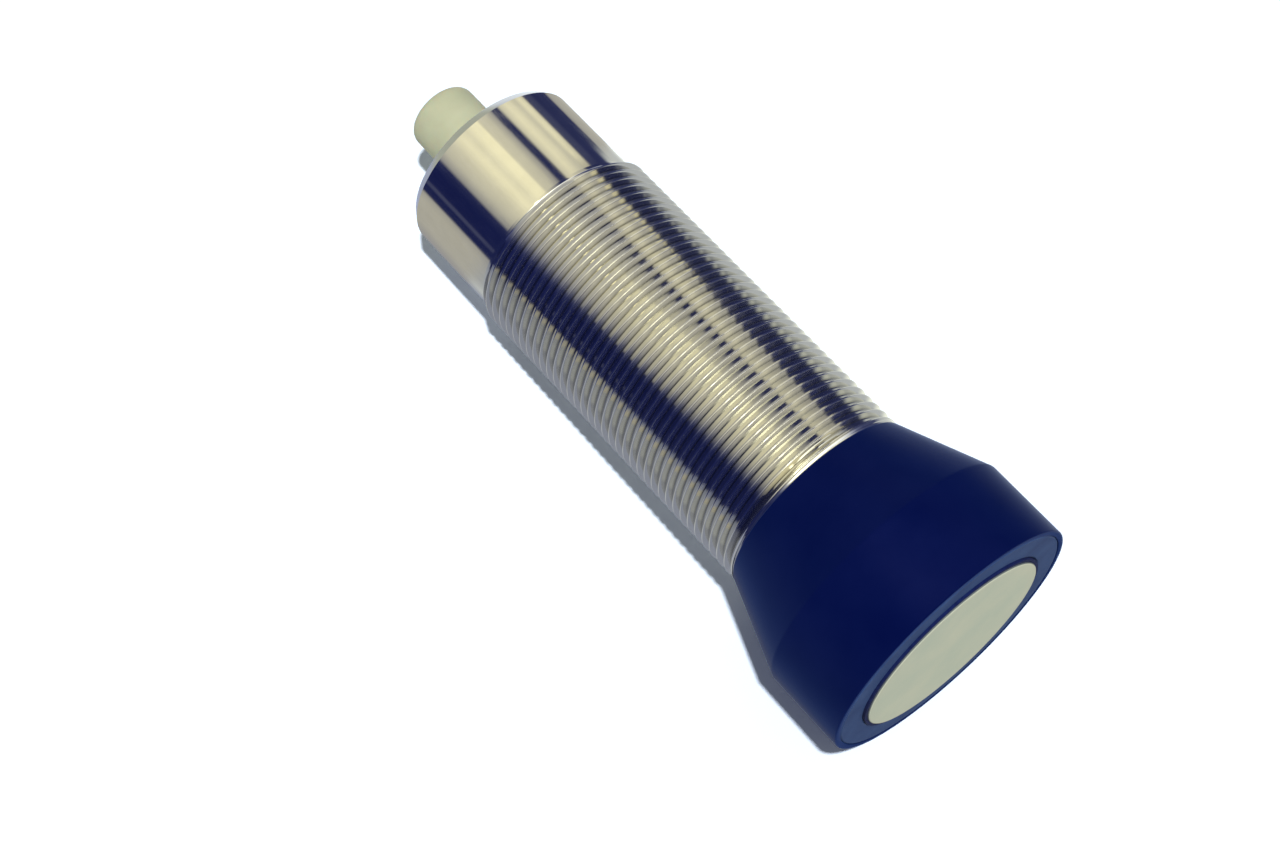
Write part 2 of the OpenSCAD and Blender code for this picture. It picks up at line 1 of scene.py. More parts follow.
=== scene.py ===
"""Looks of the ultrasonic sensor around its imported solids: nickel-plated barrel with a real
helical thread, navy head with a pale sensing disc, plug under a cream dust cap.
Lengths are millimetres and angles degrees where no name says otherwise. MM turns a length
into the scene's metres."""

import json
import math

import bpy
from mathutils import Matrix, Vector


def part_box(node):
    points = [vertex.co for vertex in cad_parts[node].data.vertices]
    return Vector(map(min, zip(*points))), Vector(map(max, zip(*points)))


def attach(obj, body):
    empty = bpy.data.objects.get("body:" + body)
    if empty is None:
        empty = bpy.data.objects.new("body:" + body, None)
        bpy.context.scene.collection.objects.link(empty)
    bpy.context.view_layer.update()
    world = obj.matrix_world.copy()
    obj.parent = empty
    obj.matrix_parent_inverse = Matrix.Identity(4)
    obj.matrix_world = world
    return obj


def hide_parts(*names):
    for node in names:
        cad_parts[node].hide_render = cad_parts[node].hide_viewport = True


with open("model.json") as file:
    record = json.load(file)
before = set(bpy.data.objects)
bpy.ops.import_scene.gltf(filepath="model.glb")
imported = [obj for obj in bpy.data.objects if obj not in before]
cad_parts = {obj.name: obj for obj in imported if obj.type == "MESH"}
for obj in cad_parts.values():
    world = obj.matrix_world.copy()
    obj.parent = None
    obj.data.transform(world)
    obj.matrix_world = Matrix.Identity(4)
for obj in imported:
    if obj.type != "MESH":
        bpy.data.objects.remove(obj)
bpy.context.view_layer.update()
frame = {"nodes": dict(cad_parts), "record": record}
NODES = frame["nodes"]

MM = 0.001
SEGMENTS = 144          # columns round the barrel and the head
PLUG_SEGMENTS = 96
SHARP_DEG = 30          # edges that turn more than this stay crisp


def reach(node):
    """Outer radius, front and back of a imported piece, without the frame's rounding."""
    low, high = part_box(node)
    return [round(length / MM, 3) for length in (high.x, low.z, high.z)]


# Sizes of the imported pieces
HEAD_R, RIM_FRONT, HEAD_BACK = reach("head_housing")
THREAD_R, BARREL_FRONT, BARREL_BACK = reach("barrel")
FLANGE_R, NECK_FRONT, PLUG_MOUTH = reach("plug_shell")
CLOSING_BACK = reach("closing_cap")[2]
CUP_BACK = reach("transducer_cup")[2]
WEB_BACK = reach("front_carrier")[1]
DISC_R = reach("sensing_disc")[0]

# Sizes inside them, the same as in the part's source
FIT = 0.04              # gap between pieces that sit in each other
HEAD_STRAIGHT, HEAD_END_STEP, FRONT_RING_T = 12.4, 0.2, 5.0
RIM_W, RIM_ROUND, CONE_ROUND, CUP_OUT_R = 0.9, 0.2, 0.3, 16.83
SMOOTH_R, SMOOTH_LEN, BARREL_WALL, WEB_LEDGE = 14.1, 17.2, 1.8, 2.6
FRONT_SEAL_POS, GROOVE_DEPTH, GROOVE_W = 4.0, 1.05, 1.25
REAR_SEAT_DEPTH, REAR_SEAT_STEP = 6.0, 0.45
CHAMFER_LEN, CHAMFER_DEPTH, PITCH = 1.4, 0.9, 1.5
PLUG_R, PLUG_BORE_R, NECK_R, FLANGE_T, PLUG_PITCH = 3.975, 2.9, 4.3, 1.2, 1.0
CONE_FRONT = RIM_FRONT + HEAD_STRAIGHT
RING_BACK = RIM_FRONT + FRONT_RING_T
HEAD_END_R = THREAD_R + HEAD_END_STEP / 2
THREAD_BACK = BARREL_BACK - SMOOTH_LEN
BORE_R = SMOOTH_R - BARREL_WALL
FLANGE_BACK = CLOSING_BACK + FLANGE_T

# Meshes


def arc(centre, radius, start, end, steps):
    """Points of an arc in a turned profile."""
    turn = [math.radians(start + (end - start) * i / steps) for i in range(steps + 1)]
    return [(centre[0] + radius * math.cos(a), centre[1] + radius * math.sin(a)) for a in turn]


class Turned:
    """Collects the rings of a turned piece and joins them into faces."""

    def __init__(self, segments):
        self.n = segments
        self.verts, self.faces = [], []

    def vert(self, r, column, z):
        turn = 2 * math.pi * column / self.n
        self.verts.append((r * math.cos(turn) * MM, r * math.sin(turn) * MM, z * MM))
        return len(self.verts) - 1

    def face(self, *corners):
        """Adds a face, unless its corners have run together."""
        kept = list(dict.fromkeys(corners))
        if len(kept) > 2:
            self.faces.append(kept)

    def join(self, low, high):
        for j in range(self.n):
            k = (j + 1) % self.n
            self.face(low[j], low[k], high[k], high[j])

    def run(self, profile):
        """Joins the rings of a profile, which has the solid on its left, and gives the rings."""
        rings = [[self.vert(r, j, z) for j in range(self.n)] for r, z in profile]
        for low, high in zip(rings, rings[1:]):
            self.join(low, high)
        return rings

    def thread(self, low, high, front, back, pitch, crest_at, form, radius_at):
        """Joins the ring low at front to the ring high at back by helical rows. The form gives
        phase and depth over one pitch, and radius_at the radius for a depth and a height."""
        rows = len(form)
        known = {}

        def point(i, j):
            turn, step = divmod(i, rows)
            phase, depth = form[step]
            z = crest_at + pitch * (turn + phase + j / self.n)
            if z <= front:
                return low[j]
            if z >= back:
                return high[j]
            if (i, j) not in known:
                known[i, j] = self.vert(radius_at(depth, z), j, z)
            return known[i, j]

        first = rows * (math.floor((front - crest_at) / pitch) - 2)
        last = rows * (math.ceil((back - crest_at) / pitch) + 1)
        for i in range(first, last):
            for j in range(self.n):
                k, up = (j + 1, 0) if j + 1 < self.n else (0, rows)
                self.face(point(i, j), point(i + up, k), point(i + 1 + up, k), point(i + 1, j))

    def piece(self, name, slot, replaced):
        """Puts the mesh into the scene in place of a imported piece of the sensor's body."""
        mesh = bpy.data.meshes.new(name)
        mesh.from_pydata(self.verts, [], self.faces)
        mesh.validate()
        mesh.shade_smooth()
        mesh.set_sharp_from_angle(angle=math.radians(SHARP_DEG))
        piece = bpy.data.objects.new(name, mesh)
        bpy.context.scene.collection.objects.link(piece)
        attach(piece, "sensor")
        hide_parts(replaced)
        dress(piece, slot)


# Node trees

MIX_SHARE, MIX_A, MIX_B, MIX_COLOUR = 0, 6, 7, 2    # sockets of a colour mix
NOISE_LOW, NOISE_HIGH = 0.3, 0.7                    # nearly all values of a noise lie between


class Nodes:
    """Builds the node tree of a material or a world."""

    def __init__(self, owner, output):
        owner.use_nodes = True
        self.tree = owner.node_tree
        self.tree.nodes.clear()
        self.output = self.add(output)

    def add(self, kind, **settings):
        node = self.tree.nodes.new(kind)
        for key, value in settings.items():
            setattr(node, key, value)
        return node

    def feed(self, socket, value):
        """Sets a socket from a number, a colour or another node's output."""
        if isinstance(value, bpy.types.NodeSocket):
            self.tree.links.new(value, socket)
        else:
            socket.default_value = value

    def result(self, kind, *inputs, **settings):
        """Adds a node, feeds its inputs in order and gives its first output."""
        node = self.add(kind, **settings)
        for socket, value in zip(node.inputs, inputs):
            self.feed(socket, value)
        return node.outputs[0]

    def show(self, surface):
        self.feed(self.output.inputs["Surface"], surface)

    def math(self, operation, *values):
        return self.result("ShaderNodeMath", *values, operation=operation)

    def scaled(self, vector, scale):
        return self.result("ShaderNodeVectorMath", vector, scale, operation="MULTIPLY")

    def apart(self, vector):
        """The three parts of a vector."""
        node = self.add("ShaderNodeSeparateXYZ")
        self.feed(node.inputs[0], vector)
        return node.outputs

    def range(self, value, low, high, to_low, to_high):
        return self.result("ShaderNodeMapRange", value, low, high, to_low, to_high)

    def spread(self, noise, low=0, high=1):
        """Lays the range of a noise over low to high."""
        return self.range(noise, NOISE_LOW, NOISE_HIGH, low, high)

    def rise(self, value, low, high):
        """Goes softly from 0 at low to 1 at high."""
        return self.result("ShaderNodeMapRange", value, low, high, interpolation_type="SMOOTHSTEP")

    def mix(self, share, a, b):
        """Colour between a and b."""
        node = self.add("ShaderNodeMix", data_type="RGBA")
        self.feed(node.inputs[MIX_SHARE], share)
        for number, colour in ((MIX_A, a), (MIX_B, b)):
            known = isinstance(colour, bpy.types.NodeSocket)
            self.feed(node.inputs[number], colour if known else (*colour, 1))
        return node.outputs[MIX_COLOUR]


class Look(Nodes):
    """A material under construction. Noise scales count waves in a millimetre."""

    def __init__(self, name, **fixed):
        self.mat = bpy.data.materials.new(name)
        super().__init__(self.mat, "ShaderNodeOutputMaterial")
        self.shader = self.add("ShaderNodeBsdfPrincipled")
        self.show(self.shader.outputs["BSDF"])
        for socket, value in fixed.items():
            self.shader.inputs[socket.replace("_", " ")].default_value = value
        metres = self.add("ShaderNodeTexCoord").outputs["Object"]
        self.place = self.scaled(metres, (1 / MM,) * 3)

    def texture(self, kind, output, vector, **sockets):
        node = self.add(kind)
        self.feed(node.inputs["Vector"], vector)
        for socket, value in sockets.items():
            node.inputs[socket].default_value = value
        return node.outputs[output]

    def noise(self, scale, detail=2.0, rough=0.5, stretch=(1, 1, 1)):
        return self.texture("ShaderNodeTexNoise", "Fac", self.scaled(self.place, stretch),
                            Scale=scale, Detail=detail, Roughness=rough)

    def spots(self, scale):
        return self.texture("ShaderNodeTexVoronoi", "Distance", self.place, Scale=scale)

    def around(self):
        """Distance of a point from the axis, and its height."""
        x, y, z = self.apart(self.place)
        squares = self.math("ADD", self.math("MULTIPLY", x, x), self.math("MULTIPLY", y, y))
        return self.math("SQRT", squares), z

    def bump(self, height, strength, distance):
        node = self.add("ShaderNodeBump")
        self.feed(node.inputs["Height"], height)
        self.feed(node.inputs["Strength"], strength)
        node.inputs["Distance"].default_value = distance * MM
        self.feed(self.shader.inputs["Normal"], node.outputs[0])

    def colour(self, value):
        self.feed(self.shader.inputs["Base Color"], value)

    def rough(self, value):
        self.feed(self.shader.inputs["Roughness"], value)


def srgb(*screen):
    """Linear colour from the 0 to 255 values of a screen."""
    shares = [value / 255 for value in screen]
    return tuple(s / 12.92 if s <= 0.04045 else ((s + 0.055) / 1.055) ** 2.4 for s in shares)


def toned(colour, share):
    return tuple(share * c for c in colour)


# Materials


def plain_look(name, dark, light, rough=(0.4, 0.6), drift=1.2, grain=14.0, depth=0.01,
               strength=0.5, detail=(2.0, 0.6), **fixed):
    """Moulded or cast surface: slow drift from a dark to a light tone, and a fine grain in
    roughness and bump. The detail is that of the grain."""
    look = Look(name, **fixed)
    fine = look.noise(grain, *detail)
    look.colour(look.mix(look.spread(look.noise(drift, detail=3.0)), dark, light))
    look.rough(look.spread(fine, *rough))
    look.bump(fine, strength, depth)
    return look.mat


def head_look():
    """Navy moulded plastic, satin, with a fine eroded grain and a faint blue sheen."""
    return plain_look(
        "head_navy", srgb(4, 13, 65), srgb(9, 19, 71), rough=(0.27, 0.36), drift=0.12, grain=11.0,
        depth=0.005, strength=0.3, detail=(3.0, 0.65),
        Specular_IOR_Level=0.019, Sheen_Weight=0.13, Sheen_Tint=(0.06, 0.27, 1.0, 1))


def ring_look():
    """Slate blue plastic of the transducer's cup, duller than the head."""
    return plain_look(
        "ring_navy", srgb(53, 75, 121), srgb(64, 90, 138), rough=(0.5, 0.65), drift=0.2, grain=9.0,
        depth=0.008, strength=0.4, detail=(3.0, 0.65), Specular_IOR_Level=0.10)


def cap_look():
    """Soft cream polyethylene, slightly translucent."""
    return plain_look(
        "cap_cream", srgb(190, 193, 161), srgb(201, 204, 172), rough=(0.42, 0.6), drift=0.22, grain=7.0,
        depth=0.01, strength=0.3, detail=(3.0, 0.6),
        Specular_IOR_Level=0.2, Subsurface_Weight=0.2, Subsurface_Scale=1.2 * MM)


NICKEL = (0.80, 0.78, 0.70)         # what one bounce off the nickel leaves of a colour
HAZE_TONE, ROOT_SHADE_TONE = 0.93, 0.68   # share of it left in haze and streaks, and in the roots' painted shade
ROOT_R, FLANK_R = 14.25, 14.5       # between these radii the painted shade of the roots fades out


def nickel_look():
    """Bright nickel: almost a mirror, with soft haze and streaks that run along the axis.
    The thread's roots are painted darker, as shade in the recesses."""
    look = Look("bright_nickel", Metallic=1.0)
    streaks = look.noise(3.2, rough=0.6, stretch=(1.0, 1.0, 0.12))
    haze = look.noise(0.35, detail=3.0, rough=0.55)
    fine = look.noise(14.0, rough=0.6)
    radius, z = look.around()
    share = look.math("ADD", look.spread(haze, 0, 0.6), look.range(streaks, 0.35, 0.65, 0, 0.4))
    in_thread = look.range(z, THREAD_BACK - 0.4, THREAD_BACK - 0.1, 1, 0)
    # painted shade: the thread's roots are coloured darker
    root_shade = look.math("MULTIPLY", look.range(radius, ROOT_R, FLANK_R, 0.9, 0), in_thread)
    polished = look.mix(share, toned(NICKEL, HAZE_TONE), NICKEL)
    look.colour(look.mix(root_shade, polished, toned(NICKEL, ROOT_SHADE_TONE)))
    look.rough(look.spread(streaks, 0.05, 0.10))
    chatter = look.range(z, THREAD_BACK - 0.3, THREAD_BACK, 0.14, 0.10)
    look.bump(look.math("MULTIPLY_ADD", fine, 0.3, streaks), strength=chatter, distance=0.002)
    return look.mat


def disc_look():
    """Pale resin filled with tiny hollow beads: fine pits and flecks, warmer towards the edge,
    and a grey side."""
    look = Look("disc_resin", Specular_IOR_Level=0.15)
    radius = look.around()[0]
    drift = look.noise(0.10, detail=3.0, rough=0.55)
    flecks = look.spots(5.5)
    beads = look.noise(16.0, rough=0.7)
    base = look.mix(look.spread(drift), srgb(205, 216, 193), srgb(219, 224, 198))
    pale = look.mix(look.range(flecks, 0.05, 0.3, 0.35, 0), base, srgb(230, 232, 212))
    warm = look.mix(look.range(radius, DISC_R - 2.2, DISC_R - 0.2, 0, 0.2), pale, srgb(222, 216, 192))
    side = look.range(radius, DISC_R - 0.10, DISC_R - 0.02, 0, 1)
    look.colour(look.mix(side, warm, srgb(110, 118, 120)))
    look.rough(look.spread(beads, 0.55, 0.75))
    look.bump(beads, strength=0.4, distance=0.012)
    return look.mat


def board_look():
    """Green solder mask over copper tracks."""
    look = Look("board_green", Specular_IOR_Level=0.5)
    tracks = look.add("ShaderNodeTexBrick", offset=0.37)
    look.feed(tracks.inputs["Vector"], look.place)
    for key, value in (("Scale", 0.9), ("Mortar Size", 0.06), ("Brick Width", 1.7), ("Row Height", 0.55)):
        tracks.inputs[key].default_value = value
    gaps = tracks.outputs["Fac"]
    weave = look.noise(4.0)
    mask = look.mix(look.spread(weave), srgb(10, 72, 40), srgb(16, 92, 52))
    look.colour(look.mix(gaps, mask, srgb(46, 128, 70)))
    look.rough(look.spread(weave, 0.3, 0.42))
    look.bump(gaps, strength=0.5, distance=0.03)
    return look.mat


def coil_look():
    """Enamelled copper wire wound in close turns, coloured darker between the turns and lighter on them:
    painted shade and highlight.
    """
    look = Look("coil_copper", Metallic=0.9)
    wave = look.add("ShaderNodeTexWave", wave_type="RINGS", rings_direction="Y")
    look.feed(wave.inputs["Vector"], look.place)
    wave.inputs["Scale"].default_value = 2.2
    wave.inputs["Distortion"].default_value = 0.6
    turns = wave.outputs["Fac"]
    # painted shade in the creases between turns and painted highlight on them
    look.colour(look.mix(turns, srgb(120, 58, 28), srgb(214, 128, 74)))
    look.rough(look.range(turns, 0, 1, 0.4, 0.25))
    look.bump(turns, strength=0.6, distance=0.04)
    return look.mat


def lamp_look(name, dark, light):
    """Tinted lens of a small lamp, cloudy inside."""
    look = Look(name, Specular_IOR_Level=0.5, Transmission_Weight=0.3)
    cloud = look.noise(2.5)
    look.colour(look.mix(look.spread(cloud), dark, light))
    look.rough(look.spread(cloud, 0.18, 0.3))
    look.bump(cloud, strength=0.2, distance=0.01)
    return look.mat


# Finishes that need nothing of their own, by material slot
PLAIN_LOOKS = {
    "sleeve_foam": dict(
        dark=srgb(14, 26, 74), light=srgb(24, 38, 92), rough=(0.8, 0.95), drift=1.5, grain=6.0, depth=0.05),
    "piezo_ceramic": dict(
        dark=srgb(160, 154, 130), light=srgb(182, 176, 150), rough=(0.45, 0.6), drift=0.5, grain=9.0),
    "damping_foam": dict(
        dark=srgb(52, 52, 56), light=srgb(84, 84, 88), rough=(0.85, 0.98), drift=2.0, grain=3.5, depth=0.12),
    "wire_red": dict(
        dark=srgb(150, 22, 18), light=srgb(186, 34, 26), rough=(0.35, 0.5), drift=1.0, grain=10.0),
    "wire_black": dict(
        dark=srgb(16, 16, 18), light=srgb(34, 34, 36), rough=(0.35, 0.5), drift=1.0, grain=10.0),
    "seal_rubber": dict(
        dark=srgb(14, 14, 15), light=srgb(30, 30, 32), rough=(0.5, 0.7), drift=1.0, grain=12.0),
    "carrier_plastic": dict(
        dark=srgb(30, 32, 36), light=srgb(48, 51, 56), rough=(0.5, 0.65), drift=0.5, grain=10.0, depth=0.012),
    "ferrite": dict(
        dark=srgb(34, 34, 38), light=srgb(60, 60, 64), rough=(0.5, 0.75), grain=9.0, depth=0.02),
    "chip_case": dict(
        dark=srgb(20, 20, 22), light=srgb(38, 38, 40), rough=(0.55, 0.7), drift=1.0, grain=12.0),
    "capacitor_can": dict(
        dark=(0.55, 0.55, 0.57), light=(0.72, 0.72, 0.74), rough=(0.18, 0.3), drift=0.8, grain=12.0,
        depth=0.004, Metallic=1.0),
    "capacitor_ceramic": dict(
        dark=srgb(150, 122, 84), light=srgb(188, 158, 112), rough=(0.4, 0.55), drift=1.0, grain=8.0),
    "potting_resin": dict(
        dark=srgb(16, 17, 20), light=srgb(34, 35, 39), rough=(0.2, 0.35), drift=0.5, grain=3.0, depth=0.02),
    "light_guide": dict(
        dark=srgb(196, 202, 188), light=srgb(222, 226, 212), rough=(0.3, 0.45), drift=0.4, grain=6.0,
        depth=0.006, Transmission_Weight=0.25),
    "contact_plastic": dict(
        dark=srgb(14, 15, 17), light=srgb(30, 31, 34), rough=(0.45, 0.6), drift=0.8, grain=10.0),
    "contact_gold": dict(
        dark=(0.72, 0.48, 0.16), light=(0.86, 0.62, 0.26), rough=(0.14, 0.26), drift=1.5, grain=16.0,
        depth=0.003, Metallic=1.0),
}
LOOKS = {slot: plain_look(slot, **finish) for slot, finish in PLAIN_LOOKS.items()}
LOOKS |= {
    "head_plastic": head_look(),
    "ring_plastic": ring_look(),
    "disc_resin": disc_look(),
    "plated_brass": nickel_look(),
    "board_laminate": board_look(),
    "copper_wire": coil_look(),
    "lamp_green": lamp_look("lamp_green", srgb(24, 140, 48), srgb(70, 205, 90)),
    "lamp_yellow": lamp_look("lamp_yellow", srgb(196, 150, 20), srgb(240, 206, 70)),
    "cap_plastic": cap_look(),
}


def dress(piece, slot):
    """Gives a piece the finish of a material slot."""
    piece.data.materials.clear()
    piece.data.materials.append(LOOKS[slot])


# Barrel

# One pitch of the thread from crest to crest: phase and depth. The crest is slightly crowned
THREAD_FORM = (
    (0.0, 0.0), (0.012, 0.0), (0.04, 0.005), (0.062, 0.0125), (0.072, 0.030), (0.082, 0.0595),
    (0.21, 0.436), (0.335, 0.790), (0.5, 0.803), (0.665, 0.816), (0.79, 0.436),
    (0.918, 0.0595), (0.928, 0.030), (0.942, 0.008), (0.952, 0.001), (0.965, 0.0))
CREST_AT = 0.300                        # height of a crest at azimuth 0, less whole pitches
THREAD_FRONT = 26.5
LAND_R, LAND_BACK, LAND_SLOPE = 14.86, 27.05, 1.1   # the thread starts from a land by the head
RUNOUT_R, RUNOUT_SLOPE = 14.08, 2.2                 # and drops to the smooth rear part


def barrel_radius(depth, z):
    land = LAND_R - max(0.0, z - LAND_BACK) * LAND_SLOPE
    runout = RUNOUT_R + max(0.0, THREAD_BACK - z) * RUNOUT_SLOPE
    return min(max(THREAD_R - depth, land), runout)


def make_barrel():
    """Tube with seal groove, land, thread, smooth part, chamfer and rear seat."""
    groove_front = BARREL_FRONT + FRONT_SEAL_POS - GROOVE_W / 2
    groove_back, groove_r = groove_front + GROOVE_W, SMOOTH_R - GROOVE_DEPTH
    front_edge, land_front, land_edge = 0.2, HEAD_BACK + 0.02, 0.06
    runout_len = 0.12
    row_gap = 0.5       # extra rows this far from an edge keep the shading of the smooth part even
    chamfer_front, chamfer_r = BARREL_BACK - CHAMFER_LEN, SMOOTH_R - CHAMFER_DEPTH
    last_len, last_in, last_out = 0.08, 0.02, 0.05      # a softer last step of the chamfer
    seat_r, seat_front, lip = BORE_R + REAR_SEAT_STEP, BARREL_BACK - REAR_SEAT_DEPTH, 0.12
    shape = Turned(SEGMENTS)
    front = shape.run([
        (BORE_R, BARREL_FRONT), (SMOOTH_R - front_edge, BARREL_FRONT), (SMOOTH_R, BARREL_FRONT + front_edge),
        (SMOOTH_R, groove_front), (groove_r, groove_front), (groove_r, groove_back), (SMOOTH_R, groove_back),
        (SMOOTH_R, land_front), (LAND_R - land_edge, land_front), (LAND_R, THREAD_FRONT)])
    back = shape.run([
        (RUNOUT_R, THREAD_BACK), (SMOOTH_R, THREAD_BACK + runout_len), (SMOOTH_R, THREAD_BACK + row_gap),
        (SMOOTH_R, chamfer_front - row_gap), (SMOOTH_R, chamfer_front),
        (chamfer_r + last_out, BARREL_BACK - last_len), (chamfer_r - last_in, BARREL_BACK),
        (seat_r + lip, BARREL_BACK), (seat_r, BARREL_BACK - lip), (seat_r, seat_front), (BORE_R, seat_front)])
    shape.thread(front[-1], back[0], THREAD_FRONT, THREAD_BACK, PITCH, CREST_AT, THREAD_FORM, barrel_radius)
    shape.join(back[-1], front[0])
    shape.piece("barrel_dressed", "plated_brass", "barrel")


make_barrel()

# Head

# Soft edge between the straight part and the cone: height from it, and drop in radius
SHOULDER = ((-0.25, 0.0), (-0.05, 0.012), (0.1, 0.05), (0.35, 0.16))


def make_head():
    """Housing with room for the cup, rim, straight part, cone, spigot bore and web."""
    web_hole_r, spigot_r, spigot_edge = SMOOTH_R - WEB_LEDGE, SMOOTH_R + FIT, 0.1
    cup_r, rim_in_r, rim_edge = CUP_OUT_R + FIT, HEAD_R - RIM_W, 0.12
    rim_steps, cone_steps = 8, 6
    cone_end = (HEAD_END_R - CONE_ROUND, HEAD_BACK - CONE_ROUND)
    lean = math.degrees(math.atan2(HEAD_R - HEAD_END_R, cone_end[1] - CONE_FRONT))
    shape = Turned(SEGMENTS)
    rings = shape.run([
        (web_hole_r, CUP_BACK + FIT), (cup_r, CUP_BACK + FIT), (cup_r, RING_BACK + FIT),
        (rim_in_r, RING_BACK + FIT), (rim_in_r, RIM_FRONT + rim_edge),
        (rim_in_r + rim_edge / 4, RIM_FRONT + rim_edge / 4), (rim_in_r + rim_edge, RIM_FRONT),
        *arc((HEAD_R - RIM_ROUND, RIM_FRONT + RIM_ROUND), RIM_ROUND, -90, 0, rim_steps),
        *[(HEAD_R - drop, CONE_FRONT + height) for height, drop in SHOULDER],
        *arc(cone_end, CONE_ROUND, lean, 90, cone_steps),
        (spigot_r + spigot_edge, HEAD_BACK), (spigot_r, HEAD_BACK - spigot_edge),
        (spigot_r, WEB_BACK), (web_hole_r, WEB_BACK)])
    shape.join(rings[-1], rings[0])
    shape.piece("head_dressed", "head_plastic", "head_housing")


make_head()

# Plug

PLUG_DEPTH = 0.54       # of its thread
PLUG_FORM = (
    (0.0, 0.0), (0.06, 0.0), (0.08, 0.03), (0.42, 0.51), (0.44, PLUG_DEPTH), (0.5, PLUG_DEPTH),
    (0.56, PLUG_DEPTH), (0.58, 0.51), (0.92, 0.03), (0.94, 0.0))
PLUG_LOW_R = PLUG_R - PLUG_DEPTH - 0.04     # relief that the thread starts from and ends in
PLUG_THREAD_FRONT, PLUG_THREAD_BACK = FLANGE_BACK + 0.7, PLUG_MOUTH - 0.3
TAPER_BACK, TAPER = PLUG_MOUTH - 0.35, 1.2  # the thread narrows towards the mouth
BAR_DEPTH, BAR_ROOT, BAR_LEN, BAR_HALF_W = 0.5, 0.2, 7.0, 0.4   # coding bar in the bore


def plug_radius(depth, z):
    from_front = PLUG_LOW_R + max(0.0, z - PLUG_THREAD_FRONT)
    to_back = PLUG_LOW_R + max(0.0, TAPER_BACK - z) * TAPER
    return min(PLUG_R - depth, from_front, to_back)


def add_coding_bar(shape):
    """A bar along the plug's bore, so that the mating plug fits one way only."""
    first = len(shape.verts)
    inner, outer = PLUG_BORE_R - BAR_DEPTH, PLUG_BORE_R + BAR_ROOT
    for z in (PLUG_MOUTH - BAR_LEN, PLUG_THREAD_BACK):
        for x, y in ((inner, -BAR_HALF_W), (outer, -BAR_HALF_W), (outer, BAR_HALF_W), (inner, BAR_HALF_W)):
            shape.verts.append((x * MM, y * MM, z * MM))
    for corners in ((3, 2, 1, 0), (4, 5, 6, 7), (0, 1, 5, 4), (1, 2, 6, 5), (2, 3, 7, 6), (3, 0, 4, 7)):
        shape.faces.append([first + corner for corner in corners])


def make_plug():
    """Shell of the plug: neck, flange, fine thread, and bore with the coding bar."""
    flange_edge, flange_mid, foot_edge = 0.2, 0.06, 0.1
    lip, lip_mid, lip_len, mouth_edge = 0.2, 0.05, 0.12, 0.3
    shape = Turned(PLUG_SEGMENTS)
    outside = shape.run([
        (NECK_R, NECK_FRONT), (NECK_R, CLOSING_BACK), (FLANGE_R, CLOSING_BACK),
        (FLANGE_R, FLANGE_BACK - flange_edge), (FLANGE_R - flange_mid, FLANGE_BACK - flange_mid),
        (FLANGE_R - flange_edge, FLANGE_BACK), (PLUG_LOW_R + foot_edge, FLANGE_BACK),
        (PLUG_LOW_R, FLANGE_BACK + foot_edge), (PLUG_LOW_R, PLUG_THREAD_FRONT)])
    inside = shape.run([
        (PLUG_LOW_R, PLUG_THREAD_BACK), (PLUG_LOW_R - lip_mid, PLUG_MOUTH - lip_len),
        (PLUG_LOW_R - lip, PLUG_MOUTH), (PLUG_BORE_R + mouth_edge, PLUG_MOUTH),
        (PLUG_BORE_R, PLUG_MOUTH - mouth_edge), (PLUG_BORE_R, NECK_FRONT)])
    shape.thread(outside[-1], inside[0], PLUG_THREAD_FRONT, PLUG_THREAD_BACK, PLUG_PITCH, 0.0,
                 PLUG_FORM, plug_radius)
    shape.join(inside[-1], outside[0])
    add_coding_bar(shape)
    shape.piece("plug_dressed", "plated_brass", "plug_shell")


make_plug()

for row in frame["record"]["subparts"]:
    dress(NODES[row["node"]], row["material_slot"])

# Camera of the photo: it looks along +Y and up by the tilt, and rolls about its own line

CAMERA_AT = (-10.137, -292.047, -60.793)
CAMERA_TILT, CAMERA_ROLL = 21.1095, -43.2624
LENS, SENSOR_W = 63.93, 36.0
CLIP_START, CLIP_END = 10.0, 10000.0


def make_camera():
    eye = bpy.data.cameras.new("eye")
    eye.lens, eye.sensor_width, eye.sensor_fit = LENS, SENSOR_W, "HORIZONTAL"
    eye.clip_start, eye.clip_end = CLIP_START * MM, CLIP_END * MM
    camera = bpy.data.objects.new("eye", eye)
    bpy.context.scene.collection.objects.link(camera)
    tilt = Matrix.Rotation(math.radians(90 + CAMERA_TILT), 4, "X")
    roll = Matrix.Rotation(math.radians(CAMERA_ROLL), 4, "Z")
    camera.matrix_world = Matrix.Translation(Vector(CAMERA_AT) * MM) @ tilt @ roll
    bpy.context.scene.camera = camera


make_camera()

# Floor: the plane that the head and the barrel's rear edge rest on

FLOOR_TURN, FLOOR_TILT = 66.0, 4.05
FLOOR_HALF, FLOOR_GAP = 900.0, 0.02
FLOOR_GAIN = (1.03, 1.16, 1.34)     # above one: the lit floor is plain white and its shadow bluish
AXIS = Vector((0, 0, 1))
FLOOR_ACROSS = Matrix.Rotation(math.radians(-FLOOR_TURN), 3, "Z") @ Vector((1, 0, 0))
FLOOR_NORMAL = FLOOR_ACROSS * math.cos(math.radians(FLOOR_TILT)) - AXIS * math.sin(math.radians(FLOOR_TILT))


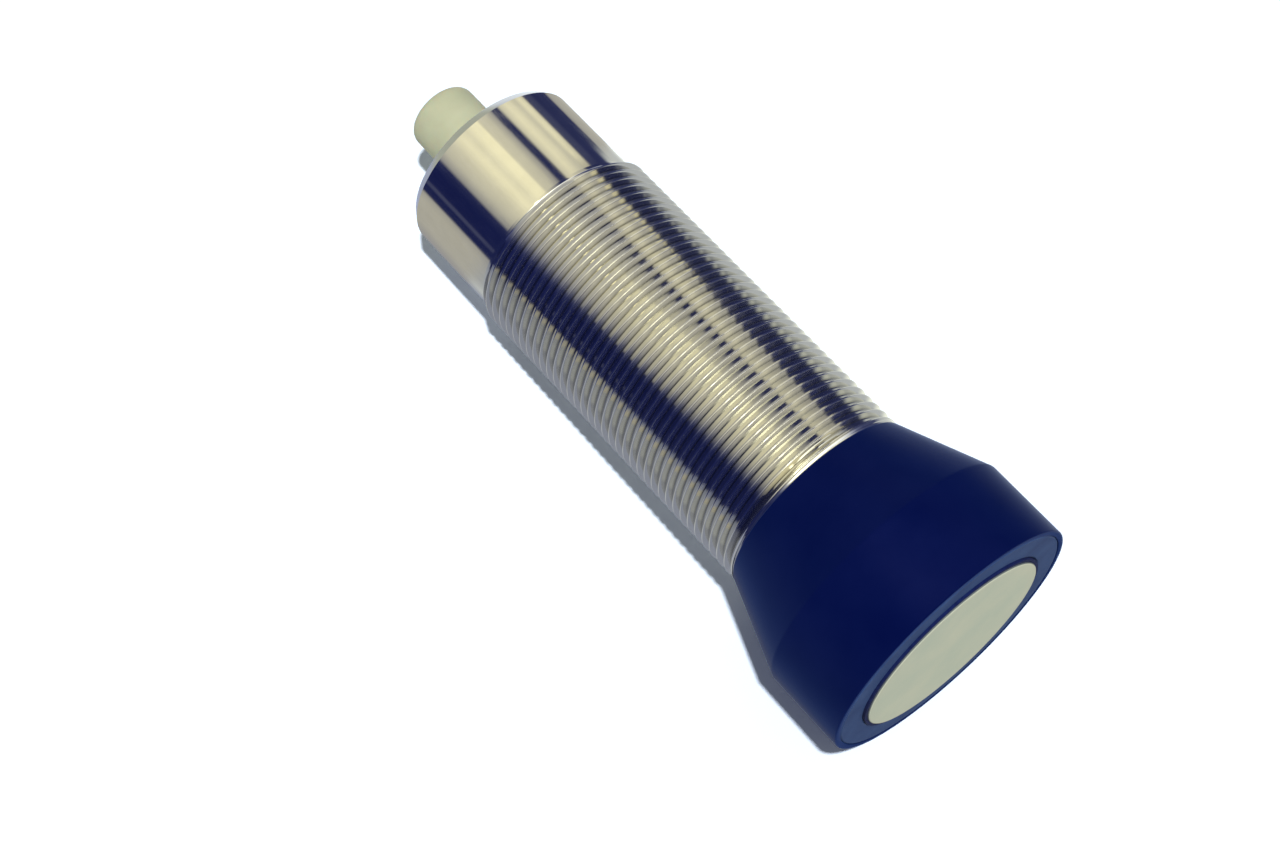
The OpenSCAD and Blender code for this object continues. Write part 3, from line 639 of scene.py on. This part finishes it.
def make_floor():
    """White paper that only the camera sees, and only from the front. It keeps the shadow."""
    touch = AXIS * CONE_FRONT - FLOOR_ACROSS * (HEAD_R + FLOOR_GAP)
    side = FLOOR_NORMAL.cross(AXIS).normalized() * FLOOR_HALF
    along = side.cross(FLOOR_NORMAL)
    corners = [touch + side * a + along * b for a, b in ((-1, 1), (1, 1), (1, -1), (-1, -1))]
    mesh = bpy.data.meshes.new("floor")
    mesh.from_pydata([corner * MM for corner in corners], [], [range(len(corners))])
    floor = bpy.data.objects.new("floor", mesh)
    bpy.context.scene.collection.objects.link(floor)
    floor.visible_diffuse = floor.visible_glossy = False
    floor.visible_shadow = floor.visible_transmission = False
    mat = bpy.data.materials.new("floor_white")
    nodes = Nodes(mat, "ShaderNodeOutputMaterial")
    behind = nodes.add("ShaderNodeNewGeometry").outputs["Backfacing"]
    paper = nodes.result("ShaderNodeBsdfDiffuse", (*FLOOR_GAIN, 1))
    clear = nodes.result("ShaderNodeBsdfTransparent")
    nodes.show(nodes.result("ShaderNodeMixShader", behind, paper, clear))
    mesh.materials.append(mat)


make_floor()

# Key lamp: far off, close to the camera's line, so that a narrow shadow shows beside the object

LAMP_FROM = (0.173, -0.954, -0.247)
LAMP_STRENGTH, LAMP_WIDTH = 2.8, 2.5


def make_lamp():
    """The metal doesn't mirror this lamp. The studio below has its glint."""
    light = bpy.data.lights.new("key", "SUN")
    light.energy, light.angle = LAMP_STRENGTH, math.radians(LAMP_WIDTH)
    lamp = bpy.data.objects.new("key", light)
    bpy.context.scene.collection.objects.link(lamp)
    lamp.rotation_mode = "QUATERNION"
    lamp.rotation_quaternion = Vector(LAMP_FROM).to_track_quat("Z", "Y")
    lamp.visible_glossy = False


make_lamp()

# Studio that the metal mirrors: how light it is, in percent from the dark tone to the light one, by
# the angle round the axis from +X towards -Y. Its bands follow each other from the front to the
# back. The smooth rear part mirrors SIDE, and the thread's roots mirror SIDE and, in a second
# bounce, BACK. Crests, the land beside the head and the head mirror FRONT and MID.

DARK_TONE, CREAM_TONE, PALE_TONE = (18, 24, 66), (240, 232, 190), (232, 234, 214)
LAMP_TONE = (238, 240, 236)
FLOOR_SIDE = (-22, 176)             # beyond these angles lies the floor, which is less yellow
FRONT = [
    (-82, 110), (-52, 82), (-38, 70), (-31, 46), (-26, 20), (-6, 19), (4, 33), (12, 65),
    (24, 100), (42, 120), (60, 150), (70, 185), (77, 200), (84, 200), (92, 150), (101, 65),
    (112, 22), (128, 2), (174, 3), (181, 37), (200, 48), (225, 57), (250, 59), (270, 59)]
MID = [
    (-80, 108), (-71, 93), (-65, 82), (-52, 78), (-41, 81), (-34, 83), (-30, 80), (-27, 61),
    (-23.5, 19), (-19, 12), (-5, 9), (4, 12), (11, 18), (13.5, 65), (20, 71), (27, 80),
    (33, 87), (36.5, 85), (39.5, 16), (48.5, 12), (51, 31), (57, 58), (66, 76), (71, 94),
    (84, 99), (98, 95), (108, 84), (118, 64), (126, 36), (131, 14), (137, 3), (168, 4),
    (174, 9), (178, 51), (192, 62), (215, 66), (235, 77), (250, 62), (268, 51)]
SIDE = [
    (-80, 72), (-66, 68), (-48, 66), (-40, 61), (-36, 10), (-14, 10), (-9, 19), (-0.5, 22),
    (2.5, 90), (8, 96), (14, 81), (21, 91), (27, 95), (36, 82), (39, 8), (46, 10), (49, 63),
    (57, 81), (66.5, 84), (69, 103), (77, 102), (85, 92), (94, 99), (106, 85), (119, 77),
    (129, 58), (132, 8), (143, 1), (159, 2), (161, 20), (163.5, 20), (166, 3), (174, 5),
    (177, 64), (186, 69), (222, 67), (236, 61), (263, 52), (272, 50)]
BACK = [
    (-82, 87), (-56, 79), (-40, 69), (-31, 60), (-26, 24), (-20, 11), (2, 12), (5.5, 65),
    (11, 67), (17, 75), (23, 84), (29, 78), (35, 69), (42, 66), (56, 68), (63, 74), (70, 77),
    (78, 72), (90, 70), (101, 74), (116, 63), (123.5, 51), (130.5, 32), (137, 14), (144, 4),
    (174, 4), (177, 8), (180.5, 42), (192, 53), (225, 57), (268, 56), (274, 73)]
DOWN = [
    (-82, 75), (-50, 70), (-38, 48), (-30, 18), (5, 18), (12, 59), (22, 86), (60, 87),
    (95, 80), (104, 45), (112, 17), (127, 10), (173, 6), (186, 8), (194, 50), (252, 53),
    (260, 19), (274, 19)]
POLE_COLOUR = (0.44, 0.47, 0.42)
# Where each band fades in, as the height of its direction towards +Z, and for DOWN towards -Z
MID_FROM, SIDE_FROM, BACK_FROM = (0.20, 0.27), (0.446, 0.452), (0.497, 0.507)
POLE_FROM, DOWN_FROM = (0.86, 0.95), (0.10, 0.30)
RAMP_STOPS = 32                     # a colour ramp holds no more
GLINT_AT, GLINT_EDGE, GLINT_CORE = (0.0955, -0.953, 0.290), 4.2, 1.4    # the lamp in the metal
GLINT_COLOUR = (4.5, 4.365, 3.24)
SKY_FILL, FLOOR_FILL = 0.19, 0.80   # soft light from above the floor, and back from it
FILL_FROM = (0.0, 0.14)


def make_world():
    """Studio for what the metal mirrors, soft fill for the rest, and white for the camera."""
    world = bpy.data.worlds.new("studio")
    bpy.context.scene.world = world
    nodes = Nodes(world, "ShaderNodeOutputWorld")
    towards = nodes.add("ShaderNodeTexCoord").outputs["Generated"]
    x, y, z = nodes.apart(towards)
    angle = nodes.math("ARCTAN2", nodes.math("MULTIPLY", y, -1.0), x)
    down = nodes.math("MULTIPLY", z, -1.0)

    def band(stops, lamp_tone, floor_tone, bounces=1):
        """Colour round the axis, as it has to be before the metal tints it at each bounce."""
        start, seen = stops[0][0], None
        turned = nodes.math("SUBTRACT", angle, math.radians(start))
        share = nodes.math("FRACT", nodes.math("DIVIDE", turned, 2 * math.pi))
        for first in range(0, len(stops) - 1, RAMP_STOPS - 1):
            part = stops[first:first + RAMP_STOPS]
            ramp = nodes.add("ShaderNodeValToRGB")
            nodes.feed(ramp.inputs[0], share)
            elements = ramp.color_ramp.elements
            while len(elements) < len(part):
                elements.new(0.5)
            for element, (turn, percent) in zip(elements, part):
                light = lamp_tone if FLOOR_SIDE[0] < turn < FLOOR_SIDE[1] else floor_tone
                screen = [a + (b - a) * percent / 100 for a, b in zip(DARK_TONE, light)]
                element.position = (turn - start) / 360
                element.color = (*(c / t ** bounces for c, t in zip(srgb(*screen), NICKEL)), 1)
            if first:
                past = nodes.math("GREATER_THAN", share, (part[0][0] - start) / 360)
                seen = nodes.mix(past, seen, ramp.outputs[0])
            else:
                seen = ramp.outputs[0]
        return seen

    def along(direction):
        """Cosine of the angle to a direction."""
        node = nodes.add("ShaderNodeVectorMath", operation="DOT_PRODUCT")
        nodes.feed(node.inputs[0], towards)
        nodes.feed(node.inputs[1], Vector(direction).normalized())
        return node.outputs["Value"]

    seen = band(FRONT, LAMP_TONE, PALE_TONE)
    seen = nodes.mix(nodes.rise(z, *MID_FROM), seen, band(MID, CREAM_TONE, PALE_TONE))
    seen = nodes.mix(nodes.rise(z, *SIDE_FROM), seen, band(SIDE, CREAM_TONE, CREAM_TONE))
    seen = nodes.mix(nodes.rise(z, *BACK_FROM), seen, band(BACK, CREAM_TONE, PALE_TONE, bounces=2))
    seen = nodes.mix(nodes.rise(z, *POLE_FROM), seen, POLE_COLOUR)
    seen = nodes.mix(nodes.rise(down, *DOWN_FROM), seen, band(DOWN, CREAM_TONE, PALE_TONE))
    edge, core = (math.cos(math.radians(turn)) for turn in (GLINT_EDGE, GLINT_CORE))
    seen = nodes.mix(nodes.rise(along(GLINT_AT), edge, core), seen, GLINT_COLOUR)
    soft = nodes.mix(nodes.rise(along(-FLOOR_NORMAL), *FILL_FROM), (SKY_FILL,) * 3, (FLOOR_FILL,) * 3)
    path = nodes.add("ShaderNodeLightPath").outputs
    studio, fill, white = (nodes.result("ShaderNodeBackground", c) for c in (seen, soft, (1, 1, 1, 1)))
    lit = nodes.result("ShaderNodeMixShader", path["Is Glossy Ray"], fill, studio)
    bare = nodes.math("MAXIMUM", path["Is Camera Ray"], path["Is Transmission Ray"])
    nodes.show(nodes.result("ShaderNodeMixShader", bare, lit, white))


make_world()

bpy.context.scene.view_settings.view_transform = "Standard"
